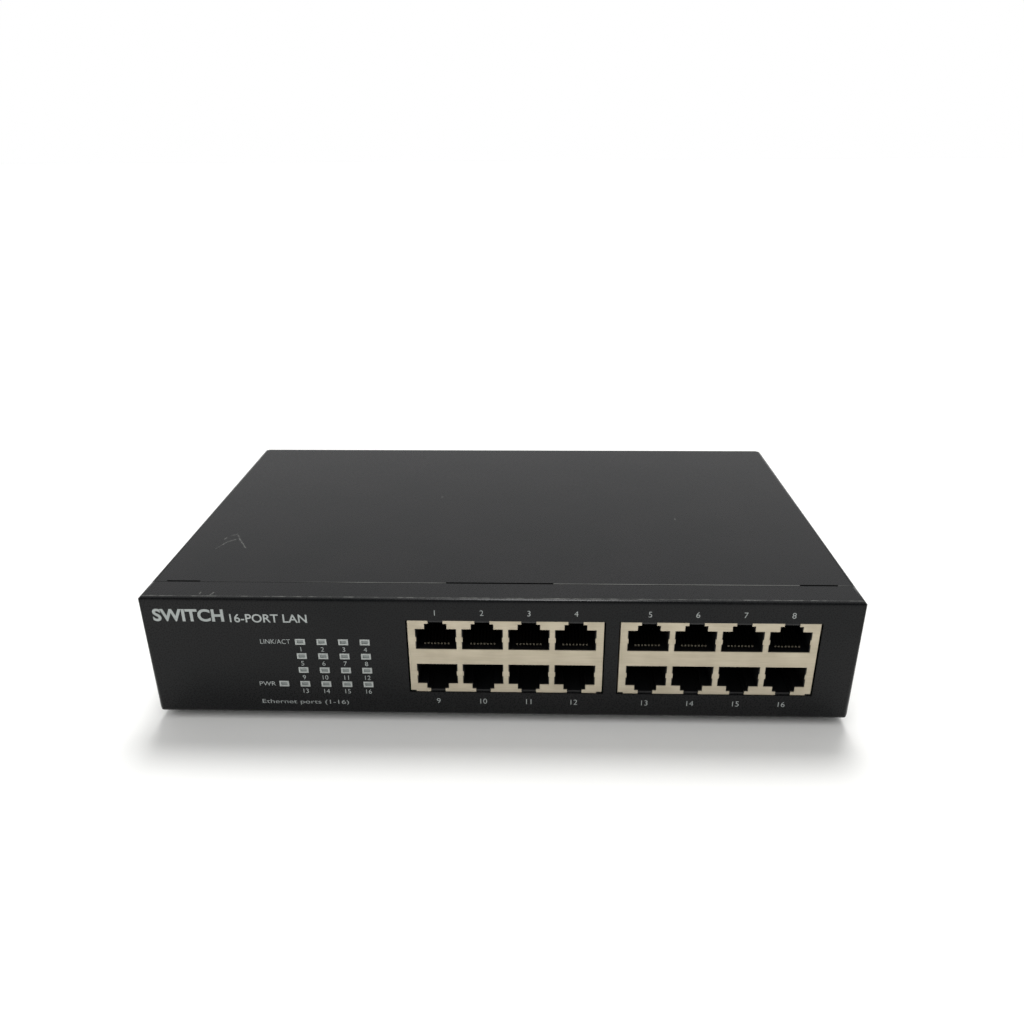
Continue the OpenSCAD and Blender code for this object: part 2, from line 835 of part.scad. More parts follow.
// Winding on its moulded former, round the middle leg
module transformer_winding() {
    color("#c9a13a") in_case() translate([-56, 109, board_top + 2.2])
        difference() {
            union() {
                along_z(4.9, 15.1) plate([-8.9, -9.5], [8.9, 9.5], [4, 4, 4, 4]);
                for (z = [3.7, 15.1]) along_z(z, z + 1.2) plate([-9.2, -11], [9.2, 11], [2, 2, 2, 2]);
                // Feet with the pins, in front of the core and behind it
                for (side = [-1, 1])
                    block([-9.2, min(side * 6, side * 11), -2.2], [9.2, max(side * 6, side * 11), 4]);
            }
            block([-3.75, -4.15, 3], [3.75, 4.15, 17]);
        }
}

module bulk_capacitor() {
    color("#1c2330") in_case() can(-22, 109, 8, 24);
}

// Ring core of the line filter, standing on edge
module line_choke() {
    color("#4b7a46") in_case() translate([-4.5, 113, board_top + 8.2]) rotate([0, 90, 0])
        rotate_extrude() plate([4, 0], [8, 7], [1, 1, 1, 1]);
}

// Suppression capacitor across the mains
module x_capacitor() {
    color("#c8b23c") in_case()
        along_z(board_top, board_top + 12) plate([6, 112], [12, 125], [0.6, 0.6, 0.6, 0.6]);
}

// Glass fuse in its two clips
module fuse() {
    color("#cfd3d2") in_case() translate([-7, 97.8, board_top + 3.6]) {
        rod_x([0, 0, 0], 2.6, 5);
        rod_x([4.5, 0, 0], 2.4, 11);
        rod_x([15, 0, 0], 2.6, 5);
        for (x = [0.8, 15.8]) block([x, -2.2, -3.6], [x + 3.4, 2.2, -1.6]);
    }
}

module bridge_rectifier() {
    color("#1c1c1e") in_case() {
        block([-12.8, 100, board_top + 3], [-8.8, 115, board_top + 13.5]);
        for (i = [0:3])
            block([-11.2, 101.3 + i * 3.8, board_top], [-10.4, 102.1 + i * 3.8, board_top + 3.1]);
    }
}

module output_capacitors() {
    color("#20242b") in_case()
        for (p = [[-83.5, 112], [-75, 118], [-74.5, 107.5]]) can(p[0], p[1], 4, 14);
}

// Upright plate with a turned top, for the switching transistor
module psu_heat_sink() {
    color("#9a9c9e") in_case() {
        block([-40.5, 97, board_top], [-38.5, 121, board_top + 23]);
        block([-40.5, 97, board_top + 21], [-35, 121, board_top + 23]);
        for (y = [97, 103, 113, 119]) block([-43, y, board_top + 3], [-40.4, y + 1.6, board_top + 23]);
    }
}

module switching_transistor() {
    color("#1d1d1f") in_case() {
        block([-38.5, 104, board_top + 4.5], [-37.2, 114, board_top + 19.5]);
        block([-37.3, 104, board_top + 4.5], [-34, 114, board_top + 13.5]);
        for (y = [106.1, 108.6, 111.1]) block([-36.6, y, board_top], [-35.8, y + 0.8, board_top + 4.6]);
    }
}

// Plastic film under the supply, folded up between the two boards
module psu_insulator() {
    film = 0.4;
    x0 = supply_x[0] - 1;
    x1 = supply_x[1] + 1;
    y0 = supply_y[0] - 1.4;
    color("#d9dcd8") in_case()
        difference() {
            union() {
                block([x0, y0, sheet], [x1, supply_y[1] + 1, sheet + film]);
                block([x0, y0, sheet], [x1, y0 + film, board_top + 12]);
            }
            for (hole = supply_holes) rod_z([hole[0], hole[1], 0], 3.4, 3);
        }
}

// ---- Mains inlet and earth ----

// Outline of the inlet's mouth, with its two upper corners cut off
module inlet_outline(w, h, chamfer) {
    polygon([[-w / 2, -h / 2], [w / 2, -h / 2], [w / 2, h / 2 - chamfer], [w / 2 - chamfer, h / 2],
             [chamfer - w / 2, h / 2], [-w / 2, h / 2 - chamfer]]);
}

module mains_inlet() {
    radii = [3, 3, 3, 3];
    wall = 1.2;
    head_r = 3.2;
    color("#151516") in_case() translate([inlet_x, 0, inlet_z])
        difference() {
            union() {
                along_y(rear_y, flange_y - 0.6) plate(-flange / 2, flange / 2, radii);
                along_y(flange_y - 0.7, flange_y)
                    plate([0.8, 0.8] - flange / 2, flange / 2 - [0.8, 0.8], radii);
                along_y(inlet_front_y, rear_y + 1)
                    inlet_outline(inlet_body[0], inlet_body[1], 4);
            }
            along_y(inlet_front_y + 5, flange_y + cut)
                inlet_outline(inlet_mouth[0], inlet_mouth[1], 4.4);
            for (side = [-1, 1]) {
                rod_y([side * inlet_screw_x, rear_y - cut, 0], 1.7, 6);
                translate([side * inlet_screw_x, flange_y - 1.7, 0]) rotate([-90, 0, 0])
                    cylinder(r1 = 1.7, r2 = head_r + 0.25, h = 1.75);
            }
            for (pin = [[-7, -2], [7, -2], [0, 2]])
                block([pin[0] - 1.05, inlet_front_y - cut, pin[1] - 2.05],
                      [pin[0] + 1.05, inlet_front_y + 6, pin[1] + 2.05]);
        }
}

// Three flat pins, each with its solder tag behind the body
module inlet_pins() {
    color("#c2c2bc") in_case() translate([inlet_x, 0, inlet_z])
        for (pin = [[-7, -2], [7, -2], [0, 2]]) {
            block([pin[0] - 1, inlet_front_y - 2, pin[1] - 2], [pin[0] + 1, 130.5, pin[1] + 2]);
            block([pin[0] - 0.4, 102, pin[1] - 2.4], [pin[0] + 0.4, inlet_front_y - 1.5, pin[1] + 2.4]);
        }
}

// Countersunk screws through the flange, with their nuts inside
module inlet_screws() {
    color("#9b9c9a") in_case()
        for (side = [-1, 1])
            translate([inlet_x + side * inlet_screw_x, 0, inlet_z]) {
                difference() {
                    translate([0, flange_y - 1.6, 0]) rotate([-90, 0, 0])
                        cylinder(r1 = 1.5, r2 = 3.1, h = 1.55);
                    for (w = [[0.3, 1.8], [1.8, 0.3]])
                        block([-w[0], flange_y - 0.9, -w[1]], [w[0], flange_y + cut, w[1]]);
                }
                rod_y([0, 124, 0], 1.5, flange_y - 1.6 - 124 + 0.05);
                difference() {
                    rotate([90, 0, 0]) translate([0, 0, -rear_inner_y]) cylinder(r = 3.1, h = 2.4, $fn = 6);
                    rod_y([0, 100, 0], 1.45, 40);
                }
            }
}

module mains_wires() {
    color("#6a4326") in_case() {
        lead(live_route, mains_lead_r, [0, 0, 1]);
        lead(neutral_route, mains_lead_r, [0, 0, 1]);
    }
}

module earth_wire() {
    color("#6f9a3a") in_case() lead(earth_route, mains_lead_r, [0.3, -0.9, 0.3]);
}

// Pressed-in stud with the earth lead's ring and its nut
module earth_terminal() {
    color("#b4b1a4") in_case() translate([stud[0], stud[1], 0]) {
        rod_z([0, 0, sheet], 1.9, 8.2);
        rod_z([0, 0, sheet], 3.6, 0.6);
        rod_z([0, 0, 4], 3.4, 0.8);
        translate([0, 0, 1.3]) cylinder(r = 4, h = 0.8);
        block([3, -1, 1.3], [5, 1, 2.1]);
        rod_x([4.4, 0, 2.7], 1.3, 3.6);
        translate([0, 0, 2]) cylinder(r = 3.6, h = 2.2, $fn = 6);
    }
}

// Grounding screw at the rear, for a lead to the rack
module ground_screw() {
    color("#b8a860") in_case() {
        translate([ground_x, rear_y + 2.2, ground_z]) rotate([-90, 0, 0]) pan_screw(3.1, 2.2, 1.5, 4);
        // Nut welded inside
        difference() {
            rotate([90, 0, 0]) translate([ground_x, ground_z, -rear_inner_y])
                cylinder(r = 3.1, h = 2.4, $fn = 6);
            rod_y([ground_x, 100, ground_z], 1.45, 40);
        }
    }
}

// ---- Drawing ----

chassis();
top_cover();
cover_screws();
foot_front_left();
foot_front_right();
foot_rear_left();
foot_rear_right();
rating_label();
board_standoffs();
board_screws();
main_board();
jack_shield_left();
jack_shield_right();
jack_housing_left();
jack_housing_right();
contact_carriers_left();
contact_carriers_right();
jack_contacts_left();
jack_contacts_right();
light_pipe_1();
light_pipe_2();
light_pipe_3();
light_pipe_4();
power_light_pipe();
light_pipe_bracket();
status_leds();
switch_chip();
switch_heat_sink();
phy_chip_left();
phy_chip_right();
phy_heat_sink_left();
phy_heat_sink_right();
lan_transformers_left();
lan_transformers_right();
crystal();
flash_chip();
buck_inductor();
board_capacitors();
board_headers();
header_plugs();
dc_wires();
psu_board();
transformer_core();
transformer_winding();
bulk_capacitor();
line_choke();
x_capacitor();
fuse();
bridge_rectifier();
output_capacitors();
psu_heat_sink();
switching_transistor();
psu_insulator();
mains_inlet();
inlet_pins();
inlet_screws();
mains_wires();
earth_wire();
earth_terminal();
ground_screw();
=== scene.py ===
import json
from math import cos, pi, radians, sin

import bpy
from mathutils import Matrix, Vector


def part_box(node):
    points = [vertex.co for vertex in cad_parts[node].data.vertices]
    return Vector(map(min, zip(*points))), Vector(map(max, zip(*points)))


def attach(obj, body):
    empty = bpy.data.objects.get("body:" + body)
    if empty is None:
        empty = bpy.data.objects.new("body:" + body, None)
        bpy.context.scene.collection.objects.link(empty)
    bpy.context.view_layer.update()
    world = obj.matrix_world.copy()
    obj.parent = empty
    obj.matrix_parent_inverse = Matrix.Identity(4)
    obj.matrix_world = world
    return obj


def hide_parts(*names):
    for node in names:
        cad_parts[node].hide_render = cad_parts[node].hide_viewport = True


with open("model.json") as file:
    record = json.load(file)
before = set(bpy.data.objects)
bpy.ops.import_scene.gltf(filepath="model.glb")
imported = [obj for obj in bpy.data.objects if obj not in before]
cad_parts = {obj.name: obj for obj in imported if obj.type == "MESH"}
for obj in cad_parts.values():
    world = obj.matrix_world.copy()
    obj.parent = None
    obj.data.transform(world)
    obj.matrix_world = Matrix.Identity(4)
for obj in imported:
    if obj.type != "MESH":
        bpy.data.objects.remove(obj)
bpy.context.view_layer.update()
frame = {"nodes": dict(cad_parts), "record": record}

MM = 0.001
NODES = frame["nodes"]

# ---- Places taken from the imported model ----

CASE_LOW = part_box("chassis")[0]
FRONT = CASE_LOW.y
BASE = CASE_LOW.z
# Tops of the cover and of the main board over the base's underside
TOP_MM = (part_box("top_cover")[1].z - BASE) / MM
BOARD_MM = (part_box("main_board")[1].z - BASE) / MM
# Depths behind the front face: where the front's top fold becomes flat, and where the cover begins
FOLD_MM = 1.5
SEAM_MM = 10.3


def spot(x, depth, height):
    """Point given in millimetres from the middle of the front face's lower edge."""
    return Vector((x * MM, FRONT + depth * MM, BASE + height * MM))


# ---- Colours and nodes ----

def linear(hex_colour):
    """sRGB hex text as the linear colour that a shader takes."""
    channels = [int(hex_colour[i:i + 2], 16) / 255 for i in (0, 2, 4)]
    return [c / 12.92 if c <= 0.04045 else ((c + 0.055) / 1.055) ** 2.4 for c in channels] + [1.0]


def add(tree, kind, settings=None, links=None):
    """Adds a shader node, sets its properties and inputs, and feeds its inputs from other nodes."""
    node = tree.nodes.new("ShaderNode" + kind)
    for key, value in (settings or {}).items():
        if isinstance(key, str) and hasattr(node, key):
            setattr(node, key, value)
        else:
            node.inputs[key].default_value = value
    for key, (source, output) in (links or {}).items():
        tree.links.new(source.outputs[output], node.inputs[key])
    return node


def start_material(name, colour, roughness, metallic=0.0, **sockets):
    """Material with its even values set on the shader's own sockets, and the piece's own coordinates."""
    material = bpy.data.materials.new(name)
    material.use_nodes = True
    tree = material.node_tree
    shader = tree.nodes["Principled BSDF"]
    values = {"Base Color": linear(colour), "Roughness": roughness, "Metallic": metallic, **sockets}
    for key, value in values.items():
        shader.inputs[key].default_value = value
    place = add(tree, "TexCoord")
    return material, tree, shader, place


def per_metre(size_mm):
    """Scale of a pattern whose features measure size_mm."""
    return 1.0 / (size_mm * MM)


def speckle(tree, place, size_mm, detail=2.0, stretch=None):
    """Noise of one feature size, drawn out along the axes in stretch."""
    source, output = place, "Object"
    if stretch:
        source = add(tree, "Mapping", {"Scale": stretch}, {"Vector": (place, "Object")})
        output = "Vector"
    return add(tree, "TexNoise", {"Scale": per_metre(size_mm), "Detail": detail},
               {"Vector": (source, output)})


# Range that holds most of a noise pattern's values
NOISE_LOW, NOISE_HIGH = 0.35, 0.65


def spread(tree, source, output, low, high):
    """Takes a noise pattern's values to the range from low to high."""
    return add(tree, "MapRange",
               {"From Min": NOISE_LOW, "From Max": NOISE_HIGH, "To Min": low, "To Max": high},
               {"Value": (source, output)})


# Places of the colours among a mix node's inputs and outputs
COLOUR_A, COLOUR_B, COLOUR_OUT = 6, 7, 2


def blend_colours(tree, share, share_output, a, b):
    """Mix from colour a to colour b; each is a hex text or another colour mix."""
    node = add(tree, "Mix", {"data_type": "RGBA"}, {0: (share, share_output)})
    for socket, value in ((COLOUR_A, a), (COLOUR_B, b)):
        if isinstance(value, str):
            node.inputs[socket].default_value = linear(value)
        else:
            tree.links.new(value.outputs[COLOUR_OUT], node.inputs[socket])
    return node


def grained(name, dark, light, roughness, grain_mm, depth_mm, metallic=0.0, patch_mm=9.0, **sockets):
    """Surface whose colour drifts from patch to patch, with a fine grain in its gloss and its relief."""
    material, tree, shader, place = start_material(name, dark, roughness, metallic, **sockets)
    patches = speckle(tree, place, patch_mm, 4.0)
    drift = spread(tree, patches, "Fac", 0.0, 1.0)
    tint = blend_colours(tree, drift, "Result", dark, light)
    grain = speckle(tree, place, grain_mm, 3.0)
    gloss = spread(tree, grain, "Fac", roughness - 0.06, roughness + 0.06)
    relief = add(tree, "Bump", {"Strength": 0.6, "Distance": depth_mm * MM}, {"Height": (grain, "Fac")})
    tree.links.new(tint.outputs[COLOUR_OUT], shader.inputs["Base Color"])
    tree.links.new(gloss.outputs["Result"], shader.inputs["Roughness"])
    tree.links.new(relief.outputs["Normal"], shader.inputs["Normal"])
    return material


# ---- Finishes ----

def position_mask(tree, place, axis, centre, half_width):
    """1 where the piece's own coordinate lies within half_width of centre, and 0 elsewhere."""
    axes = add(tree, "SeparateXYZ", links={"Vector": (place, "Object")})
    offset = add(tree, "Math", {"operation": "SUBTRACT", 1: centre}, {0: (axes, axis)})
    distance = add(tree, "Math", {"operation": "ABSOLUTE"}, {0: (offset, "Value")})
    return add(tree, "Math", {"operation": "LESS_THAN", 1: half_width}, {0: (distance, "Value")})


def product(tree, a, b):
    """Product of two masks."""
    return add(tree, "Math", {"operation": "MULTIPLY"}, {0: (a, 0), 1: (b, 0)})


def scuffed_and_highlit_line(tree, place, depth_mm, half_width_mm, stretch_mm, strength, least, begins):
    """Pale line along X on top of the case: bare steel in places, and a painted highlight along the edge.

    Strongest in stretches of stretch_mm and down to the share least between them; a stretch begins
    where the noise passes begins.
    """
    line = position_mask(tree, place, "Y", FRONT + depth_mm * MM, half_width_mm * MM)
    on_top = position_mask(tree, place, "Z", BASE + TOP_MM * MM, 0.35 * MM)
    # Painted highlight and bare steel both come and go in stretches along the line
    scuffed_and_lit = speckle(tree, place, stretch_mm, 5.0)
    share = add(tree, "MapRange", {"From Min": begins, "From Max": begins + 0.28,
                                   "To Min": strength * least, "To Max": strength},
                {"Value": (scuffed_and_lit, "Fac")})
    return product(tree, product(tree, line, on_top), share)


# Hairline scuffs on top of the case, each from one point to another, as (x, depth) in millimetres
SCRATCHES = [
    ((-95.1, 33.0), (-93.1, 37.7)), ((-93.1, 37.7), (-90.7, 40.0)),
    ((-93.0, 42.7), (-91.5, 44.0)), ((-91.0, 43.1), (-89.4, 40.0)),
    ((-89.4, 40.0), (-85.3, 33.4)), ((-94.6, 39.7), (-94.3, 41.2)),
    ((-86.0, 2.2), (-85.4, 3.6)), ((-89.4, 2.7), (-89.3, 3.7)),
    ((-24.5, 77.0), (-24.3, 78.2)), ((60.2, 58.0), (60.4, 59.0)),
]
SCRATCH_MM = 0.3


def scratch(tree, place, start, end):
    """Hairline on top of the case from start to end, thinning out in places."""
    start, end = (spot(*point, TOP_MM) for point in (start, end))
    run = end - start
    offset = add(tree, "VectorMath", {"operation": "SUBTRACT", 1: start}, {0: (place, "Object")})
    along = add(tree, "VectorMath", {"operation": "DOT_PRODUCT", 1: run / run.length_squared},
                {0: (offset, "Vector")})
    share = add(tree, "Clamp", links={"Value": (along, "Value")})
    nearest = add(tree, "VectorMath", {"operation": "SCALE", 0: run}, {"Scale": (share, "Result")})
    away = add(tree, "VectorMath", {"operation": "DISTANCE"}, {0: (offset, "Vector"), 1: (nearest, "Vector")})
    nicks = speckle(tree, place, 0.5, 1.0)
    width = add(tree, "MapRange",
                {"From Min": 0.4, "From Max": 0.62, "To Min": 0.0, "To Max": SCRATCH_MM * MM},
                {"Value": (nicks, "Fac")})
    return add(tree, "Math", {"operation": "LESS_THAN"}, {0: (away, "Value"), 1: (width, "Result")})


def powder_coat():
    """Polyester powder coat on steel: charcoal, satin, with a fine sandy grain.

    Along the front's top fold and along the cover's front edge it has pale lines: bare steel in places, and a
    painted highlight where these edges catch the light.
    """
    material, tree, shader, place = start_material(
        "charcoal_powder_coat", "141516", 0.34, **{"Specular IOR Level": 0.16})
    patches = speckle(tree, place, 24, 3.0)
    drift = spread(tree, patches, "Fac", 0.0, 1.0)
    paint = blend_colours(tree, drift, "Result", "121314", "161617")
    # Grain is about 0.15 mm; drawn at 0.4 mm so that it shows
    grain = speckle(tree, place, 0.4, 2.0)
    sand = add(tree, "MapRange", {"From Min": 0.3, "From Max": 0.7, "To Min": 0.86, "To Max": 1.14},
               {"Value": (grain, "Fac")})
    sandy = add(tree, "Mix", {"data_type": "RGBA", "blend_type": "MULTIPLY", 0: 1.0},
                {COLOUR_A: (paint, COLOUR_OUT), COLOUR_B: (sand, "Result")})
    # Painted highlight with bare steel: a pale line along the cover's front edge
    seam_line = scuffed_and_highlit_line(tree, place, SEAM_MM + 0.15, half_width_mm=0.15, stretch_mm=18,
                            strength=0.65, least=0.25, begins=0.34)
    # The seam's bare steel and painted highlight run strong from the middle to the right, and hardly show at
    # the left
    across = add(tree, "SeparateXYZ", links={"Vector": (place, "Object")})
    seam_scuff_and_highlight_reach = add(tree, "MapRange",
                  {"From Min": -75 * MM, "From Max": -38 * MM, "To Min": 0.12, "To Max": 1.0},
                  {"Value": (across, "X")})
    seam_scuff_and_highlight = product(tree, seam_line, seam_scuff_and_highlight_reach)
    # Painted highlight with bare steel: a spotty pale line where the front's top fold begins
    fold_scuff_and_highlight = scuffed_and_highlit_line(tree, place, FOLD_MM - 0.05, half_width_mm=0.2, stretch_mm=2.2,
                            strength=0.52, least=0.18, begins=0.42)
    scuffs_and_highlight = add(tree, "Math", {"operation": "MAXIMUM"}, {0: (seam_scuff_and_highlight, "Value"), 1: (fold_scuff_and_highlight, "Value")})
    for start, end in SCRATCHES:
        mark = scratch(tree, place, start, end)
        faint = add(tree, "Math", {"operation": "MULTIPLY", 1: 0.4}, {0: (mark, "Value")})
        scuffs_and_highlight = add(tree, "Math", {"operation": "MAXIMUM"}, {0: (scuffs_and_highlight, "Value"), 1: (faint, "Value")})
    # Painted highlight and bare steel: the seam and fold lines and the faint scratches mix the paint to pale
    # grey 82837f
    scuffed_and_highlit = blend_colours(tree, scuffs_and_highlight, "Value", sandy, "82837f")
    gloss = spread(tree, grain, "Fac", 0.24, 0.34)
    relief = add(tree, "Bump", {"Strength": 0.3, "Distance": 0.02 * MM}, {"Height": (grain, "Fac")})
    tree.links.new(scuffed_and_highlit.outputs[COLOUR_OUT], shader.inputs["Base Color"])
    tree.links.new(gloss.outputs["Result"], shader.inputs["Roughness"])
    tree.links.new(relief.outputs["Normal"], shader.inputs["Normal"])
    return material


def rolled_sheet(name, dark, light, roughness, along, metallic=1.0):
    """Rolled metal sheet: fine lines drawn out along the rolling direction, and faint handling marks."""
    material, tree, shader, place = start_material(name, dark, roughness, metallic)
    lines = speckle(tree, place, 0.5, 3.0, along)
    share = spread(tree, lines, "Fac", 0.0, 1.0)
    streaks = blend_colours(tree, share, "Result", dark, light)
    marks = speckle(tree, place, 5, 4.0)
    dulled = spread(tree, marks, "Fac", roughness - 0.08, roughness + 0.1)
    relief = add(tree, "Bump", {"Strength": 0.25, "Distance": 0.01 * MM}, {"Height": (lines, "Fac")})
    tree.links.new(streaks.outputs[COLOUR_OUT], shader.inputs["Base Color"])
    tree.links.new(dulled.outputs["Result"], shader.inputs["Roughness"])
    tree.links.new(relief.outputs["Normal"], shader.inputs["Normal"])
    return material


def tin_plated_shield():
    """Tin-plated steel strip, rolled lengthways: warm pale grey, soft reflections."""
    return rolled_sheet("tin_plated_shield", "bfb59f", "c6bca7", 0.5, (0.08, 1.0, 1.0), 0.55)


def moulded_light_pipe():
    """Milky polycarbonate: pale rim, and a darker grey in the lens pocket as painted shade."""
    material, tree, shader, place = start_material("milky_polycarbonate", "b7bcba", 0.3)
    axes = add(tree, "SeparateXYZ", links={"Vector": (place, "Object")})
    # Painted shade: past 0.2 mm behind the front face the pocket takes the darker grey 848a88
    inside = add(tree, "Math", {"operation": "GREATER_THAN", 1: FRONT + 0.2 * MM}, {0: (axes, "Y")})
    cloud = speckle(tree, place, 0.6, 2.0)
    milk = blend_colours(tree, cloud, "Fac", "a5aaa7", "b2b6b3")
    depth = blend_colours(tree, inside, "Value", milk, "848a88")
    tree.links.new(depth.outputs[COLOUR_OUT], shader.inputs["Base Color"])
    return material


def solder_mask(name, mask, trace, bare):
    """Glass-epoxy laminate under a printed mask: tracks show as lighter lines, pads as small bright dots."""
    material, tree, shader, place = start_material(name, mask, 0.32)
    tracks = add(tree, "TexBrick", {"Scale": per_metre(1), "Mortar Size": 0.11, "Brick Width": 9.0,
                                    "Row Height": 0.8, "offset": 0.37, "squash_frequency": 3, "squash": 0.6},
                 {"Vector": (place, "Object")})
    areas = speckle(tree, place, 14, 1.0)
    routed = add(tree, "Math", {"operation": "GREATER_THAN", 1: 0.47}, {0: (areas, "Fac")})
    on_track = add(tree, "Math", {"operation": "MULTIPLY"}, {0: (tracks, "Fac"), 1: (routed, "Value")})
    tracked = blend_colours(tree, on_track, "Value", mask, trace)
    vias = add(tree, "TexVoronoi", {"Scale": per_metre(4.2)}, {"Vector": (place, "Object")})
    pad = add(tree, "Math", {"operation": "LESS_THAN", 1: 0.07}, {0: (vias, "Distance")})
    dotted = blend_colours(tree, pad, "Value", tracked, bare)
    relief = add(tree, "Bump", {"Strength": 0.5, "Distance": 0.03 * MM}, {"Height": (on_track, "Value")})
    tree.links.new(dotted.outputs[COLOUR_OUT], shader.inputs["Base Color"])
    tree.links.new(relief.outputs["Normal"], shader.inputs["Normal"])
    return material


def extruded_aluminium():
    """Extruded aluminium: drawn lines along the fins, satin from the die."""
    return rolled_sheet("extruded_aluminium", "8e9193", "a9acae", 0.38, (1.0, 0.04, 1.0))


def selective_gold():
    """Spring bronze strip with a gold flash at the bend that a plug rubs; away from the bend it is near-black
    as painted shade inside the jack, and the pale bend is partly a painted highlight.
    """
    material, tree, shader, place = start_material("gold_flash_contact_with_painted_shade", "1d1a17", 0.5, 0.8)
    bend = spot(0, 2.4, 24.9)
    height = position_mask(tree, place, "Z", bend.z, 0.3 * MM)
    depth = position_mask(tree, place, "Y", bend.y, 0.5 * MM)
    scuffed_and_lit = product(tree, height, depth)
    # Painted shade: away from the bend the contact is near-black 15130f; the bend's pale 7b7567 is gold flash
    # and painted highlight
    colour = blend_colours(tree, scuffed_and_lit, "Value", "15130f", "7b7567")
    tree.links.new(colour.outputs[COLOUR_OUT], shader.inputs["Base Color"])
    return material


def fuse_glass():
    """Glass tube, grey-green and glossy, with a plated cap at each end."""
    material, tree, shader, place = start_material("glass_fuse", "d5dad8", 0.12)
    low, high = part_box("fuse")
    middle = (low.x + high.x) / 2
    glass = position_mask(tree, place, "X", middle, 5.4 * MM)
    colour = blend_colours(tree, glass, "Value", "b9b8b0", "8d9896")
    plated = add(tree, "Math", {"operation": "SUBTRACT", 0: 1.0}, {1: (glass, "Value")})
    tree.links.new(colour.outputs[COLOUR_OUT], shader.inputs["Base Color"])
    tree.links.new(plated.outputs["Value"], shader.inputs["Metallic"])
    return material


def wound_tape():
    """Polyester tape over a winding: amber, with the edge of each turn showing as a fine band."""
    material, tree, shader, place = start_material("wound_polyester_tape", "b98f2e", 0.3)
    turns = add(tree, "TexWave", {"bands_direction": "Z", "Scale": per_metre(1.6) / 20, "Distortion": 0.4,
                                  "Detail": 2.0}, {"Vector": (place, "Object")})
    bands = blend_colours(tree, turns, "Fac", "9a7420", "c79d3a")
    relief = add(tree, "Bump", {"Strength": 0.4, "Distance": 0.05 * MM}, {"Height": (turns, "Fac")})
    tree.links.new(bands.outputs[COLOUR_OUT], shader.inputs["Base Color"])
    tree.links.new(relief.outputs["Normal"], shader.inputs["Normal"])
    return material


FINISHES = {
    "powder_coat": powder_coat(),
    # Black chromate on zinc: near-black with a dull metal shine
    "zinc_screw": grained("black_zinc_screw", "3a3b3c", "4a4b4c", 0.38, 0.3, 0.01, 0.9),
    # Moulded rubber: matt, faintly dusty
    "rubber": grained("moulded_rubber", "131314", "1c1c1d", 0.82, 0.3, 0.02),
    # Matt polyester label: flat off-white
    "label_film": grained("matt_label_film", "cfcfcb", "d8d8d4", 0.55, 0.4, 0.005),
    # Bright tin over steel: soft mirror
    "plated_steel": grained("bright_tin_plate", "b5b3ab", "c4c2ba", 0.28, 0.4, 0.01, 1.0),
    "green_board": solder_mask("green_solder_mask", "123f27", "1f5f3b", "b8ab7c"),
    "tan_board": solder_mask("tan_laminate", "9c7440", "ab8451", "c9c4b4"),
    "shield_metal": tin_plated_shield(),
    # Glass-filled nylon: black, dry sheen with a fine spark-eroded grain
    "black_nylon": grained("black_glass_filled_nylon", "0b0b0c", "111112", 0.5, 0.25, 0.01),
    "gold_contact": selective_gold(),
    "light_pipe": moulded_light_pipe(),
    # White diode body
    "led_ceramic": grained("white_diode_body", "e9e6d6", "f2efe2", 0.45, 0.3, 0.005),
    # Moulded chip epoxy: charcoal, slightly sparkling from its filler
    "chip_epoxy": grained("moulded_chip_epoxy", "1b1b1d", "232325", 0.55, 0.2, 0.012),
    "sink_aluminium": extruded_aluminium(),
    # Sintered ferrite: dark grey, dense, dull
    "ferrite": grained("sintered_ferrite", "2c2c30", "38383c", 0.6, 0.35, 0.02),
    # Shrunk PVC sleeve: smooth, blue-black, glossy
    "capacitor_sleeve": grained("shrunk_pvc_sleeve", "131a2a", "1a2236", 0.25, 1.2, 0.01),
    # Unfilled nylon: ivory, waxy
    "ivory_nylon": grained("ivory_nylon", "d9d2be", "e6e0cf", 0.42, 0.3, 0.008),
    # Extruded PVC jackets: even colour, soft shine
    "wire_jacket": grained("red_pvc_jacket", "a3231c", "b32c22", 0.35, 0.5, 0.006),
    "mains_jacket": grained("brown_pvc_jacket", "53321c", "613d25", 0.35, 0.5, 0.006),
    "earth_jacket": grained("green_pvc_jacket", "5a8a2a", "a9b03a", 0.35, 0.5, 0.006, patch_mm=3.0),
    "winding_tape": wound_tape(),
    # Potted box of a film capacitor: yellow, glossy
    "yellow_box": grained("potted_yellow_box", "c2a12a", "cfae35", 0.28, 0.8, 0.01),
    "fuse_glass": fuse_glass(),
    # Cut polyester film: pale and cloudy
    "insulator_film": grained("polyester_film", "b9bdb8", "c6c9c5", 0.3, 2.0, 0.02),
    # Yellow chromate on steel
    "brass_screw": grained("yellow_passivated_screw", "b08f4e", "c2a566", 0.32, 0.3, 0.008, 1.0),
}
# Screen-printed epoxy ink: pale grey, matt, thin enough to take on the coat's grain
PANEL_INK = grained("screen_printed_ink", "a4aaa8", "b2b7b5", 0.55, 0.4, 0.02)


# ---- Carried-over parts ----

def finish_node(node, edge_mm):
    """Joins a part's loose triangles, clears its flat faces and breaks its sharp edges."""
    part = NODES[node]
    weld = part.modifiers.new("weld", "WELD")
    weld.merge_threshold = 0.002 * MM
    flat = part.modifiers.new("flat_faces", "DECIMATE")
    flat.decimate_type = "DISSOLVE"
    flat.angle_limit = radians(0.5)
    if edge_mm:
        bevel = part.modifiers.new("broken_edges", "BEVEL")
        bevel.width = edge_mm * MM
        bevel.segments = 2
        bevel.angle_limit = radians(50)
        bevel.harden_normals = False


